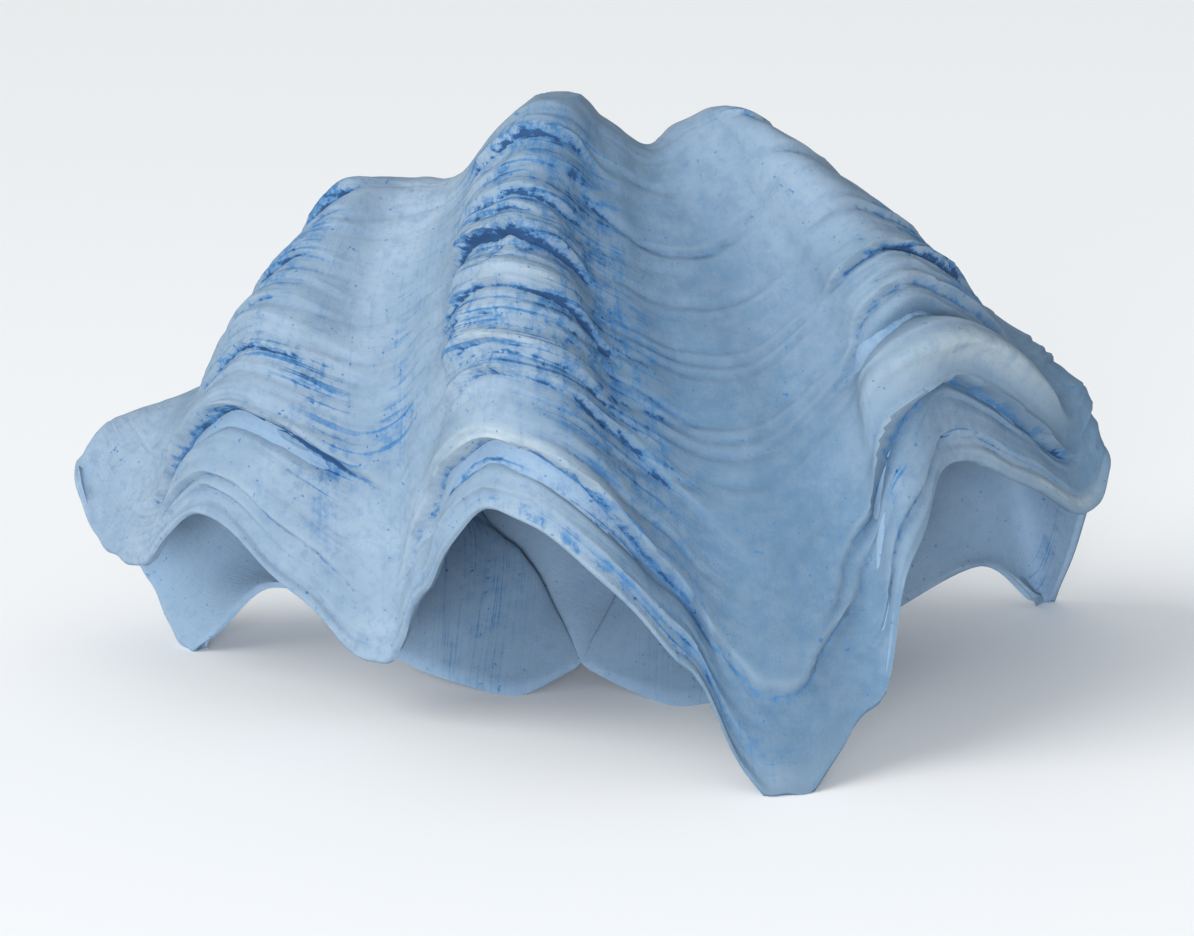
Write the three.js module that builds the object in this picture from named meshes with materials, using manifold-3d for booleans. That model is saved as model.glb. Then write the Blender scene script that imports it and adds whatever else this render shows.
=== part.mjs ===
// Half shell of a giant clam, lying hollow side down on three of its margin tongues.
// Millimetres, +Z up, +X along the hinge line, the wavy margin towards -Y.
// The origin is on the floor, under the middle of the shell's bounding box.
//
// The shell is one grown piece, so it is one solid. Its outside is a fan of fold lines that
// leave the umbo, swing back and up over the dome and come down to the lip. Ribs and valleys
// take turns across the fan, and the surface runs smoothly through them both ways. The inside
// is a second such surface, one wall thickness in, which reaches forward at the hinge as a shelf.

import * as THREE from "three";
import { mergeVertices } from "three/addons/utils/BufferGeometryUtils.js";
import Module from "manifold-3d";

// Where every fold line starts: the umbo outside, and the notch in the hinge shelf inside.
const UMBO = [-6, 26, 13];
const HINGE_NOTCH = [-4, 2, 9];

// How far back the dome bulges behind the umbo, as a place along Y.
const BACK_REACH = 133;

// Fold lines from the left end of the hinge round the margin to the right end. Each has its
// crown, two places on the way down and its lip. swing is its share of the bulge at the back.
const FOLDS = [
  {
    name: "left hinge edge", swing: 0,
    crown: [-74, 28, 19], high: [-111, 28, 24], low: [-148, 43, 31], lip: [-178, 49, 3],
  },
  {
    name: "left foot", swing: 0.45,
    crown: [-126, 82, 56], high: [-152, 82, 52], low: [-173, 75, 30], lip: [-187, 51, -2],
  },
  {
    name: "left foot flank", swing: 0.7,
    crown: [-148, 107, 90], high: [-178, 103, 77], low: [-201, 99, 56], lip: [-212, 90, 25],
  },
  {
    name: "rib 1", swing: 0.8,
    crown: [-152, 112, 116], high: [-194, 94, 108], low: [-223, 75, 101], lip: [-238, 64, 84],
  },
  {
    name: "rib 1 flank", swing: 0.85,
    crown: [-143, 99, 138], high: [-183, 77, 116], low: [-208, 56, 84], lip: [-225, 43, 55],
  },
  {
    name: "valley 1", swing: 0.9,
    crown: [-137, 77, 166], high: [-169, 56, 132], low: [-191, 34, 85], lip: [-201, 17, 51],
  },
  {
    name: "rib 2", swing: 0.95,
    crown: [-109, 38, 213], high: [-138, 13, 177], low: [-156, -9, 131], lip: [-163, -17, 81],
  },
  {
    name: "valley 2", swing: 0.95,
    crown: [-78, 47, 218], high: [-94, 8, 171], low: [-96, -26, 113], lip: [-95, -48, 27],
  },
  {
    name: "rib 3 left flank", swing: 1,
    crown: [-55, 34, 223], high: [-63, 0, 189], low: [-67, -39, 137], lip: [-72, -63, 57],
  },
  {
    name: "rib 3", swing: 1,
    crown: [-21, 8, 257], high: [-34, -45, 215], low: [-36, -80, 162], lip: [-35, -90, 103],
  },
  {
    name: "rib 3 right flank", swing: 1,
    crown: [6, 17, 246], high: [6, -26, 193], low: [17, -63, 130], lip: [37, -111, 46],
  },
  {
    name: "valley 3", swing: 1,
    crown: [26, 30, 233], high: [46, -13, 179], low: [66, -65, 110], lip: [76, -134, 0],
  },
  {
    name: "rib 4 left flank", swing: 1,
    crown: [43, 28, 243], high: [81, -11, 193], low: [107, -46, 140], lip: [114, -93, 45],
  },
  {
    name: "rib 4", swing: 1,
    crown: [70, 21, 248], high: [112, -15, 214], low: [142, -43, 172], lip: [149, -48, 112],
  },
  {
    name: "valley 4", swing: 0.9,
    crown: [110, 77, 200], high: [158, 51, 174], low: [201, 30, 122], lip: [223, 34, 69],
  },
  {
    name: "rib 5", swing: 0.8,
    crown: [149, 112, 150], high: [188, 94, 142], low: [221, 69, 122], lip: [238, 64, 89],
  },
  {
    name: "right foot", swing: 0.5,
    crown: [158, 124, 86], high: [192, 124, 73], low: [216, 124, 39], lip: [230, 124, -1],
  },
  {
    name: "right hinge edge", swing: 0,
    crown: [80, 21, 2], high: [123, 47, 9], low: [186, 94, 26], lip: [219, 116, 4],
  },
];

// Wall thickness at the stations of a fold line: umbo, curl, back, shoulder, crown, high, low, lip.
const WALL = [21.5, 19.5, 15.5, 13, 11.5, 10.5, 8, 5.5];

// How often the folds, and the directions that the wall goes in, are evened out across the fan
// on the inside. Near the umbo the inside is a plain bowl, and at the lip it follows each fold.
const FOLD_EASING = [0, 8, 5, 2, 0, 0, 0, 0];
const WALL_EASING = [0, 6, 6, 4, 2, 0, 0, 0];

// Front edge of the hinge shelf, from the notch out to the feet, one place for each station.
const SHELF_LEFT = [
  HINGE_NOTCH, [-31, -17, 2], [-54, -8, 3], [-78, 6, 6],
  [-89, 12, 12], [-106, 18, 29], [-146, 36, 35], [-176, 44, 5],
];
const SHELF_RIGHT = [
  HINGE_NOTCH, [18, -15, 3], [40, -31, 1], [70, -15, 2],
  [100, 11, 5], [120, 38, 14], [183, 87, 29], [216, 111, 6],
];

// The hidden stations behind the crown, as shares of the way from the umbo to the crown.
const CURL = { across: 0.22, back: 0.25, up: 0.14, bulge: 56, lift: 4 };
const BACK = { across: 0.48, back: 0.55, up: 0.5 };
const SHOULDER = { across: 0.78, back: 0.8, up: 0.88, bulge: 0.52 };

// Mesh steps between two neighbouring fold lines, and between two stations.
const STEPS_ACROSS = 4;
const STEPS_ALONG = 4;

// The block that trims the feet flat: as wide as the shell with room to spare.
const FLOOR_BLOCK = { side: 600, depth: 50 };

// Vertices closer together than this are one vertex.
const MERGE_DISTANCE = 0.001;

const SHELL_COLOUR = 0x93b2cf;
const SHELL_ROUGHNESS = 0.9;

const vec = ([x, y, z]) => new THREE.Vector3(x, y, z);
const between = (from, to, share) => from + (to - from) * share;

// A point some shares of the way from the umbo to a crown.
function onTheWay(crown, place) {
  return new THREE.Vector3(
    between(UMBO[0], crown[0], place.across),
    between(UMBO[1], crown[1], place.back),
    between(UMBO[2], crown[2], place.up),
  );
}

// The eight stations of a fold line, from the umbo to the lip.
function stations(fold) {
  const curl = onTheWay(fold.crown, CURL);
  curl.y += fold.swing * CURL.bulge;
  curl.z += fold.swing * CURL.lift;
  const back = onTheWay(fold.crown, BACK);
  back.y = between(back.y, BACK_REACH, fold.swing);
  const shoulder = onTheWay(fold.crown, SHOULDER);
  shoulder.y += fold.swing * SHOULDER.bulge * (BACK_REACH - fold.crown[1]);
  return [vec(UMBO), curl, back, shoulder, vec(fold.crown), vec(fold.high), vec(fold.low), vec(fold.lip)];
}

// Difference of two neighbours in a row of points, which is the tangent there.
function tangent(row, at) {
  const before = row[Math.max(at - 1, 0)];
  const after = row[Math.min(at + 1, row.length - 1)];
  return after.clone().sub(before);
}

// A row of vectors evened out: each takes half its own value and a quarter of each neighbour's.
function evenedOut(row, times) {
  const last = row.length - 1;
  const blend = (own, i, all) => {
    if (i === 0 || i === last) return own;
    return all[i - 1].clone().add(all[i + 1]).addScaledVector(own, 2).divideScalar(4);
  };
  return times > 0 ? evenedOut(row.map(blend), times - 1) : row;
}

// The direction out of the wall at one station of every fold line.
function outwardRow(outer, j) {
  const row = outer.map((line) => line[j]);
  return row.map((_, i) => tangent(outer[i], j).cross(tangent(row, i)).normalize());
}

// The inner surface's stations: the outer ones moved in by the wall, and the shelf's front edge.
function innerStations(outer) {
  const rows = WALL.map((wall, j) => {
    const folds = evenedOut(outer.map((line) => line[j]), FOLD_EASING[j]);
    const outward = evenedOut(outwardRow(outer, j), WALL_EASING[j]);
    return folds.map((point, i) => point.clone().addScaledVector(outward[i].normalize(), -wall));
  });
  rows[0].forEach((point) => point.copy(vec(HINGE_NOTCH)));
  rows.forEach((row, j) => row[0].copy(vec(SHELF_LEFT[j])));
  rows.forEach((row, j) => row.at(-1).copy(vec(SHELF_RIGHT[j])));
  return outer.map((_, i) => rows.map((row) => row[i]));
}

// Points at even steps along a smooth curve through the given ones.
function smoothRow(points, steps) {
  const curve = new THREE.CatmullRomCurve3(points, false, "catmullrom");
  return curve.getPoints((points.length - 1) * steps);
}

// A smooth surface through a net of stations, as rows of points that run across the fan.
function smoothNet(net) {
  const lines = net.map((line) => smoothRow(line, STEPS_ALONG));
  return lines[0].map((_, j) => smoothRow(lines.map((line) => line[j]), STEPS_ACROSS));
}

// Triangles of a strip between two rows of vertex numbers.
function stripFaces(low, high) {
  const faces = [];
  for (let i = 0; i < low.length - 1; i += 1) {
    faces.push([low[i], high[i + 1], low[i + 1]]);
    faces.push([low[i], high[i], high[i + 1]]);
  }
  return faces;
}

// One closed wall: the outer surface, the inner one turned round, and the rim between them.
// Each surface's first row is all one point, and the triangles that it flattens are left out.
function closedWall(outerRows, innerRows) {
  const width = outerRows[0].length;
  const vertices = [...outerRows.flat(), ...innerRows.flat()];
  const insideStart = outerRows.flat().length;
  const number = (row, i, start) => start + row * width + i;
  const rowNumbers = (row, start) => outerRows[row].map((_, i) => number(row, i, start));
  const faces = [];
  for (let row = 0; row < outerRows.length - 1; row += 1) {
    faces.push(...stripFaces(rowNumbers(row, 0), rowNumbers(row + 1, 0)));
    faces.push(...stripFaces(rowNumbers(row + 1, insideStart), rowNumbers(row, insideStart)));
  }
  const downLeft = outerRows.map((_, row) => number(row, 0, 0));
  const alongLip = rowNumbers(outerRows.length - 1, 0);
  const upRight = outerRows.map((_, row) => number(row, width - 1, 0)).reverse();
  const edge = [...downLeft, ...alongLip.slice(1), ...upRight.slice(1)];
  faces.push(...stripFaces(edge.map((v) => v + insideStart), edge).map((face) => face.reverse()));
  return solidGeometry(vertices, faces);
}

// A geometry with its shared vertices merged and its flattened triangles left out.
function solidGeometry(vertices, faces) {
  const loose = new THREE.BufferGeometry().setFromPoints(vertices);
  loose.setIndex(faces.flat());
  const merged = mergeVertices(loose, MERGE_DISTANCE);
  const index = merged.index.array;
  const kept = [];
  for (let f = 0; f < index.length; f += 3) {
    const [a, b, c] = [index[f], index[f + 1], index[f + 2]];
    if (a !== b && b !== c && c !== a) kept.push(a, b, c);
  }
  merged.setIndex(kept);
  return merged;
}

// The feet are trimmed flat at the floor, where the tongues stand.
function trimFeet(geometry, wasm) {
  const { side, depth } = FLOOR_BLOCK;
  const block = new THREE.BoxGeometry(side, side, depth).translate(0, 0, -depth / 2);
  const trimmed = asManifold(geometry, wasm).subtract(asManifold(block, wasm));
  const mesh = trimmed.getMesh();
  const result = new THREE.BufferGeometry();
  result.setAttribute("position", new THREE.BufferAttribute(mesh.vertProperties, mesh.numProp));
  result.setIndex(Array.from(mesh.triVerts));
  return result;
}

function asManifold(geometry, wasm) {
  const bare = geometry.clone();
  bare.deleteAttribute("normal");
  bare.deleteAttribute("uv");
  const merged = mergeVertices(bare, MERGE_DISTANCE);
  const vertProperties = merged.attributes.position.array;
  const triVerts = new Uint32Array(merged.index.array);
  return new wasm.Manifold(new wasm.Mesh({ numProp: 3, vertProperties, triVerts }));
}

function shellMesh(wasm) {
  const outer = FOLDS.map(stations);
  const wall = closedWall(smoothNet(outer), smoothNet(innerStations(outer)));
  const material = new THREE.MeshStandardMaterial({
    color: SHELL_COLOUR,
    roughness: SHELL_ROUGHNESS,
    metalness: 0,
  });
  const mesh = new THREE.Mesh(trimFeet(wall, wasm), material);
  mesh.name = "shell";
  return mesh;
}

const wasm = await Module();
wasm.setup();

const clam = new THREE.Group();
clam.name = "giant_clam_half_shell";
clam.add(shellMesh(wasm));

export default clam;
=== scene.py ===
"""The looks of a giant clam's half shell, lying hollow side down.

The shell is one grown wall. Its outside is a smooth surface through fold lines, which the CAD
part shares, and the growth relief is added to it: old lips that stand proud as ledges, fine
growth lines, pits and unevenness. The chalky blue wash lies darkest wherever that relief is low.

Places on the shell are given as a fold number, counted from the left end of the hinge round
the margin to the right end, and a station number, from 0 at the umbo to 7 at the lip.
"""

import math

import bpy
import numpy as np
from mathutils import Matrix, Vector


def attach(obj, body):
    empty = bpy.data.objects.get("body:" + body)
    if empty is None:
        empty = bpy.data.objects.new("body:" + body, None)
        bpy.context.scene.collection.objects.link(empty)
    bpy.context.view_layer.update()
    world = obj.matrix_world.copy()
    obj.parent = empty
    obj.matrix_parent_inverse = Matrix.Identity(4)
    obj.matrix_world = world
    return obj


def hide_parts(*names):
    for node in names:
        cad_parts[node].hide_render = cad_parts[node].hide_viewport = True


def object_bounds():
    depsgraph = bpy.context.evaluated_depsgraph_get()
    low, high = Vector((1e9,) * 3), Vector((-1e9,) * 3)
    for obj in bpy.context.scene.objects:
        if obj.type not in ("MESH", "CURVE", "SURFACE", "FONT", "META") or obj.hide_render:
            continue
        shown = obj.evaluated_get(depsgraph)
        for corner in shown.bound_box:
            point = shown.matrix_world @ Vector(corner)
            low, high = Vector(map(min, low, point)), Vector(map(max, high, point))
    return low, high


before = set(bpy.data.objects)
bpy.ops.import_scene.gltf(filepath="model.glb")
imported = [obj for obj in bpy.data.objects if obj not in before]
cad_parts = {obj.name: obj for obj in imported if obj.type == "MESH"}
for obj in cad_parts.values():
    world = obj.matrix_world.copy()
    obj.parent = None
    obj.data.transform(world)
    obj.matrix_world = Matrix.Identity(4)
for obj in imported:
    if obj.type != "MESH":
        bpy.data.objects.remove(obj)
CAD_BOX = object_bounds()

MM = 0.001

# ---------------------------------------------------------------- the fold lines, in millimetres

UMBO = (-6, 26, 13)
HINGE_NOTCH = (-4, 2, 9)
BACK_REACH = 133

# One row for each fold line: its share of the bulge at the back, then its crown, the two
# places on the way down, and its lip.
FOLDS = (
    (0.00, (-74, 28, 19), (-111, 28, 24), (-148, 43, 31), (-178, 49, 3)),
    (0.45, (-126, 82, 56), (-152, 82, 52), (-173, 75, 30), (-187, 51, -2)),
    (0.70, (-148, 107, 90), (-178, 103, 77), (-201, 99, 56), (-212, 90, 25)),
    (0.80, (-152, 112, 116), (-194, 94, 108), (-223, 75, 101), (-238, 64, 84)),
    (0.85, (-143, 99, 138), (-183, 77, 116), (-208, 56, 84), (-225, 43, 55)),
    (0.90, (-137, 77, 166), (-169, 56, 132), (-191, 34, 85), (-201, 17, 51)),
    (0.95, (-109, 38, 213), (-138, 13, 177), (-156, -9, 131), (-163, -17, 81)),
    (0.95, (-78, 47, 218), (-94, 8, 171), (-96, -26, 113), (-95, -48, 27)),
    (1.00, (-55, 34, 223), (-63, 0, 189), (-67, -39, 137), (-72, -63, 57)),
    (1.00, (-21, 8, 257), (-34, -45, 215), (-36, -80, 162), (-35, -90, 103)),
    (1.00, (6, 17, 246), (6, -26, 193), (17, -63, 130), (37, -111, 46)),
    (1.00, (26, 30, 233), (46, -13, 179), (66, -65, 110), (76, -134, 0)),
    (1.00, (43, 28, 243), (81, -11, 193), (107, -46, 140), (114, -93, 45)),
    (1.00, (70, 21, 248), (112, -15, 214), (142, -43, 172), (149, -48, 112)),
    (0.90, (110, 77, 200), (158, 51, 174), (201, 30, 122), (223, 34, 69)),
    (0.80, (149, 112, 150), (188, 94, 142), (221, 69, 122), (238, 64, 89)),
    (0.50, (158, 124, 86), (192, 124, 73), (216, 124, 39), (230, 124, -1)),
    (0.00, (80, 21, 2), (123, 47, 9), (186, 94, 26), (219, 116, 4)),
)

# Wall thickness at each station, and how often the folds and the wall's direction are evened
# out across the fan on the inside, where the shell is a plainer bowl.
WALL = (21.5, 19.5, 15.5, 13, 11.5, 10.5, 8, 5.5)
FOLD_EASING = (0, 8, 5, 2, 0, 0, 0, 0)
WALL_EASING = (0, 6, 6, 4, 2, 0, 0, 0)

# Front edge of the hinge shelf, one place for each station.
SHELF_LEFT = (
    HINGE_NOTCH, (-31, -17, 2), (-54, -8, 3), (-78, 6, 6),
    (-89, 12, 12), (-106, 18, 29), (-146, 36, 35), (-176, 44, 5),
)
SHELF_RIGHT = (
    HINGE_NOTCH, (18, -15, 3), (40, -31, 1), (70, -15, 2),
    (100, 11, 5), (120, 38, 14), (183, 87, 29), (216, 111, 6),
)

# The hidden stations behind the crown, as shares of the way from the umbo to the crown.
CURL, CURL_BULGE, CURL_LIFT = (0.22, 0.25, 0.14), 56, 4
BACK = (0.48, 0.55, 0.50)
SHOULDER, SHOULDER_BULGE = (0.78, 0.80, 0.88), 0.52

LAST_FOLD = len(FOLDS) - 1
LAST_STATION = len(WALL) - 1

# Steps of the finished mesh: few behind the crown, many down the front, finest at the rims.
STEPS_BACK, STEPS_FRONT, STEPS_LIP = 58, 196, 10
FRONT_START, LIP_START = 3.4, 6.9
STEPS_EDGE, STEPS_ACROSS, EDGE_SPAN = 4, 280, 0.10

# How far the lip reaches past the last station: fold, width in folds, amount in stations.
# Then its slow waves, each with a rate and a start.
LIP_REACHES = (
    (11.55, 0.26, 0.10), (12.02, 0.22, 0.17), (10.45, 0.25, 0.05),
    (14.60, 0.40, 0.06), (2.20, 0.40, 0.05),
)
LIP_WAVES = ((5.3, 0.4), (8.9, 2.1), (14.3, 4.0))
LIP_UNEVEN = 0.012
LIP_REACH_START = 6.0

# One station down the front, and the radius of the rounded rim, in millimetres.
STATION_MM = 55.0
RIM_RADIUS = 2.4

# ---------------------------------------------------------------- the growth relief

# Old lips that stand proud: fold, station, how far they run to the left and right in folds,
# their drop in millimetres, and how far the line lags behind at its ends in stations.
LEDGES = (
    (6.0, 4.08, 0.50, 0.35, 6.1, 0.00),
    (6.0, 4.34, 0.60, 0.50, 2.7, 0.05),
    (6.0, 4.72, 0.60, 0.60, 4.1, 0.08),
    (6.0, 5.10, 0.55, 0.50, 3.1, 0.06),
    (6.0, 5.50, 0.65, 0.95, 4.4, 0.06),
    (6.0, 6.03, 1.15, 1.10, 10.2, 0.12),
    (6.0, 6.60, 0.95, 1.10, 4.1, 0.06),
    (9.0, 4.40, 0.85, 0.85, 5.1, 0.05),
    (9.0, 4.60, 0.80, 0.90, 2.2, 0.06),
    (9.0, 4.78, 0.80, 0.80, 2.4, 0.06),
    (9.0, 5.06, 0.85, 0.75, 8.5, 0.16),
    (9.0, 5.48, 1.05, 0.90, 4.8, 0.14),
    (9.0, 5.72, 0.80, 0.80, 2.2, 0.10),
    (9.0, 5.90, 0.95, 1.10, 2.9, 0.10),
    (9.2, 6.04, 1.10, 1.40, 4.1, 0.08),
    (9.0, 6.50, 1.30, 1.35, 8.5, 0.08),
    (9.2, 6.82, 0.90, 1.40, 3.4, 0.03),
    (13.0, 4.05, 0.60, 0.60, 3.1, 0.05),
    (13.0, 4.98, 0.60, 0.80, 3.1, 0.08),
    (13.0, 5.36, 0.80, 0.75, 7.1, 0.12),
    (13.0, 5.70, 0.95, 0.75, 6.1, 0.12),
    (13.0, 6.40, 1.15, 1.00, 12.0, 0.08),
    (13.0, 6.76, 1.05, 0.90, 2.7, 0.05),
    (11.0, 6.66, 0.95, 1.10, 6.0, -0.06),
    (15.0, 5.70, 0.60, 0.60, 2.7, 0.05),
    (15.0, 6.35, 0.60, 0.60, 3.1, 0.05),
)

# Growth lines that are cut in: fold, station, run to the left and right, depth, lag.
CREASES = (
    (11.0, 4.80, 1.30, 1.90, 1.8, -0.08),
    (11.0, 5.16, 0.80, 0.90, 0.5, 0.00),
    (11.0, 5.36, 1.10, 1.10, 1.2, 0.00),
    (11.0, 5.43, 1.20, 1.15, 1.6, 0.00),
    (11.0, 5.50, 0.80, 1.10, 1.0, 0.00),
    (11.0, 5.76, 1.20, 1.20, 1.5, 0.00),
    (11.0, 5.83, 1.10, 1.10, 1.1, 0.00),
    (11.0, 5.91, 0.90, 1.20, 1.4, 0.00),
    (11.2, 6.02, 0.60, 0.90, 1.0, 0.00),
    (11.0, 6.20, 0.50, 0.70, 0.7, 0.00),
    (11.0, 6.50, 0.80, 0.80, 0.4, 0.00),
    (7.0, 4.45, 0.70, 0.60, 0.8, 0.00),
    (7.0, 4.58, 0.60, 0.70, 0.7, 0.00),
    (7.0, 5.86, 0.80, 0.80, 1.1, 0.00),
    (7.0, 5.95, 0.90, 0.90, 1.3, 0.00),
    (7.0, 6.07, 0.80, 0.80, 0.9, 0.00),
    (7.0, 6.46, 0.45, 0.45, 0.6, 0.00),
)
SLANTED_CREASES = (
    (10.0, 5.60, 0.60, 0.50, 1.4, -0.20),
    (10.2, 5.85, 0.60, 0.60, 1.6, -0.20),
    (10.2, 6.15, 0.60, 0.60, 1.4, -0.20),
)

# Broad swellings and hollows: fold, station, width in folds, width in stations, height.
SWELLS = (
    (13.1, 5.93, 0.95, 0.06, -9.0),
    (13.0, 6.14, 1.10, 0.15, 12.0),
    (12.2, 6.25, 0.30, 0.25, 3.0),
    (6.00, 6.17, 0.90, 0.06, -3.0),
    (9.00, 6.64, 0.90, 0.05, -3.0),
    (9.00, 6.86, 0.90, 0.06, 2.5),
    (13.0, 6.90, 0.90, 0.06, 2.5),
    (13.0, 5.50, 0.60, 0.07, 1.6),
    (6.0, 3.98, 0.30, 0.07, 3.0),
    (6.0, 6.14, 0.80, 0.07, -2.2),
    (9.0, 5.22, 0.45, 0.07, -2.6),
    (9.0, 5.36, 0.55, 0.07, 1.6),
    (9.0, 5.84, 0.50, 0.06, 1.2),
    (9.0, 6.62, 0.80, 0.07, -1.6),
    (15.0, 6.15, 0.35, 0.09, 1.2),
    (15.0, 6.60, 0.35, 0.07, 1.2),
)

# Fuller shoulders beside the crests of the ribs, on both sides of the wall: as above.
FULLNESS = (
    (5.55, 5.80, 0.30, 1.60, 3.0),
    (6.45, 5.90, 0.32, 1.50, 5.0),
    (8.50, 5.70, 0.28, 1.70, 5.0),
    (9.45, 5.80, 0.36, 1.70, 9.0),
    (12.45, 6.30, 0.38, 1.30, 12.0),
    (13.55, 5.70, 0.36, 1.30, 5.0),
    (10.55, 5.30, 0.30, 0.90, -4.0),
    (11.45, 5.30, 0.30, 0.90, -4.0),
    (9.80, 7.00, 0.45, 0.60, 4.0),
    (12.25, 7.00, 0.30, 0.60, 4.0),
    (7.45, 6.20, 0.28, 1.10, -3.0),
)

# Where the wash lies dense all over, and where shade is painted into it: the valley at fold 11, the
# right side from fold 14 on and the recesses under the ledges at folds 6, 9 and 13 are darkened as
# painted shade, partly over a real bluer wash. As above.
WASHES_AND_PAINTED_SHADE = (
    (11.1, 6.10, 1.30, 1.50, 1.00),
    (11.2, 7.00, 1.20, 0.60, 0.80),
    (11.0, 4.50, 1.20, 0.80, 0.45),
    (9.40, 4.30, 0.90, 0.50, 0.45),
    (9.80, 5.60, 0.70, 1.40, 0.45),
    (14.3, 5.80, 1.20, 1.50, 0.90),
    (15.5, 6.60, 1.50, 0.80, 0.70),
    (6.10, 6.13, 0.80, 0.05, 0.90),
    (9.00, 6.64, 0.80, 0.05, 0.60),
    (13.0, 5.90, 0.70, 0.07, 0.80),
    (13.0, 6.46, 0.90, 0.08, 0.60),
    (6.00, 4.60, 0.60, 0.60, 0.30),
    (3.00, 4.60, 1.50, 0.50, 0.30),
    (8.00, 2.00, 7.00, 1.20, 0.10),
)

# Where the blue stain is rich: fold, station, width in folds, width in stations, amount.
STAINS = (
    (6.00, 4.12, 0.38, 0.06, 1.00),
    (5.90, 4.70, 0.50, 0.50, 0.75),
    (6.00, 5.55, 0.60, 0.10, 0.50),
    (6.60, 5.70, 0.25, 0.15, 0.60),
    (6.10, 6.12, 0.80, 0.07, 0.60),
    (6.70, 6.20, 0.20, 0.30, 0.50),
    (9.00, 4.42, 0.70, 0.07, 0.75),
    (9.00, 4.75, 0.75, 0.40, 0.75),
    (9.10, 5.20, 0.35, 0.08, 1.00),
    (8.60, 5.20, 0.30, 0.25, 0.40),
    (9.40, 5.55, 0.25, 0.07, 0.85),
    (8.50, 5.65, 0.20, 0.25, 0.50),
    (9.80, 4.90, 0.40, 0.50, 0.70),
    (10.0, 5.60, 0.45, 0.50, 0.75),
    (9.00, 5.75, 0.70, 0.20, 0.45),
    (9.00, 6.00, 0.60, 0.07, 0.45),
    (10.0, 6.30, 0.40, 0.40, 0.40),
    (9.60, 6.93, 0.80, 0.05, 0.80),
    (10.6, 6.85, 0.50, 0.08, 0.50),
    (13.0, 4.06, 0.40, 0.05, 0.80),
    (13.5, 5.20, 0.40, 0.60, 0.45),
    (13.2, 5.42, 0.50, 0.05, 0.70),
    (13.9, 6.48, 0.07, 0.04, 1.00),
    (12.4, 6.62, 0.06, 0.06, 1.00),
    (13.0, 6.78, 0.80, 0.05, 0.50),
    (7.50, 5.40, 0.20, 0.60, 0.35),
    (7.30, 5.95, 0.50, 0.15, 0.50),
    (3.00, 7.00, 0.60, 0.05, 0.40),
    (16.0, 6.80, 0.40, 0.20, 0.35),
    (9.60, 6.00, 0.50, 0.70, 0.30),
    (6.00, 3.00, 0.50, 0.60, 0.50),
    (9.00, 3.00, 0.60, 0.70, 0.60),
    (13.0, 3.00, 0.55, 0.70, 0.50),
    (11.0, 2.20, 0.50, 0.90, 0.35),
    (3.50, 2.40, 1.20, 0.80, 0.35),
)

# Where the wash is thin and the cream of the shell shows: as above.
CREAMS = (
    (13.1, 6.20, 0.70, 0.12, 0.75),
    (9.00, 6.48, 0.55, 0.07, 0.80),
    (9.30, 5.40, 0.40, 0.05, 0.60),
    (9.00, 5.84, 0.35, 0.04, 0.70),
    (9.70, 6.96, 0.70, 0.03, 0.60),
    (13.9, 6.90, 0.60, 0.07, 0.70),
    (11.0, 6.95, 0.50, 0.05, 0.30),
)

# The same for the inside.
INNER_STAINS = (
    (1.20, 1.90, 2.40, 1.20, 0.35),
    (15.6, 1.90, 2.40, 1.20, 0.30),
    (10.2, 6.20, 0.70, 0.80, 0.90),
    (9.40, 6.80, 1.40, 0.15, 0.80),
    (9.80, 5.20, 0.80, 0.40, 0.60),
    (9.00, 5.80, 0.40, 0.20, 0.40),
    (13.2, 5.90, 0.80, 0.60, 0.55),
    (6.50, 6.40, 0.50, 0.30, 0.40),
    (4.00, 5.00, 1.00, 1.00, 0.30),
    (16.0, 6.50, 0.60, 0.40, 0.40),
)
INNER_CREAMS = (
    (8.70, 5.90, 0.60, 0.40, 0.60),
    (6.00, 2.00, 2.50, 1.00, 0.30),
    (12.0, 2.20, 2.50, 1.00, 0.30),
)
INNER_WASHES = (
    (1.00, 1.50, 2.00, 1.20, 0.70),
    (15.6, 1.60, 2.00, 1.20, 0.50),
    (8.50, 3.00, 4.00, 1.50, 0.35),
    (13.0, 5.80, 1.20, 1.00, 0.40),
)

# Stains, creams, and washes with painted shade, of the two sides.
OUTSIDE = (STAINS, CREAMS, WASHES_AND_PAINTED_SHADE)
INSIDE = (INNER_STAINS, INNER_CREAMS, INNER_WASHES)

# Fine growth lines, cut at random: how many, and the ranges of their station, fold, run in folds
# and depth. Then the widths of a cut line and of a fine one.
FINE_LINES, FINE_LINE_SEED = 300, 41
FINE_LINE_STATIONS, FINE_LINE_FOLDS = (0.8, 6.95), (4.5, 14.5)
FINE_LINE_RUN, FINE_LINE_DEPTH = (0.4, 1.5), (0.20, 0.80)
CREASE_WIDTH, FINE_LINE_WIDTH = 1.15, 0.92

# Small old lips at random stations of each rib: the rib's fold, and how many it has. Then how
# far they stray from the rib, and the ranges of their station, lag, drop and run.
SCUTES, SCUTE_SEED = ((6.0, 18), (9.0, 26), (13.0, 14), (15.0, 5)), 23
SCUTE_STRAY, SCUTE_STATIONS, SCUTE_LAG = 0.35, (4.0, 6.9), (0.02, 0.20)
SCUTE_DROP, SCUTE_RUN = (0.7, 2.4), (0.35, 0.85)

# The shape of a ledge: the way of its swell, of its fall and of the wall's return, in
# millimetres, and the share of its drop that stands proud.
LEDGE_SWELL, LEDGE_FALL, LEDGE_RETURN, LEDGE_SHARE = 8.0, 1.9, 10.0, 0.40

# Behind the crown: where the relief lies and how far it spreads, then its ribs and its rings.
BACK_STATION, BACK_SPREAD = 2.3, 1.1
BACK_RIB_HEIGHT, BACK_RIBS, BACK_RIB_FOLD = 4.5, 9, 9
BACK_RING_HEIGHT, BACK_RING_SPACING, BACK_RING_WANDER = 1.5, 0.31, 3.0

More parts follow.
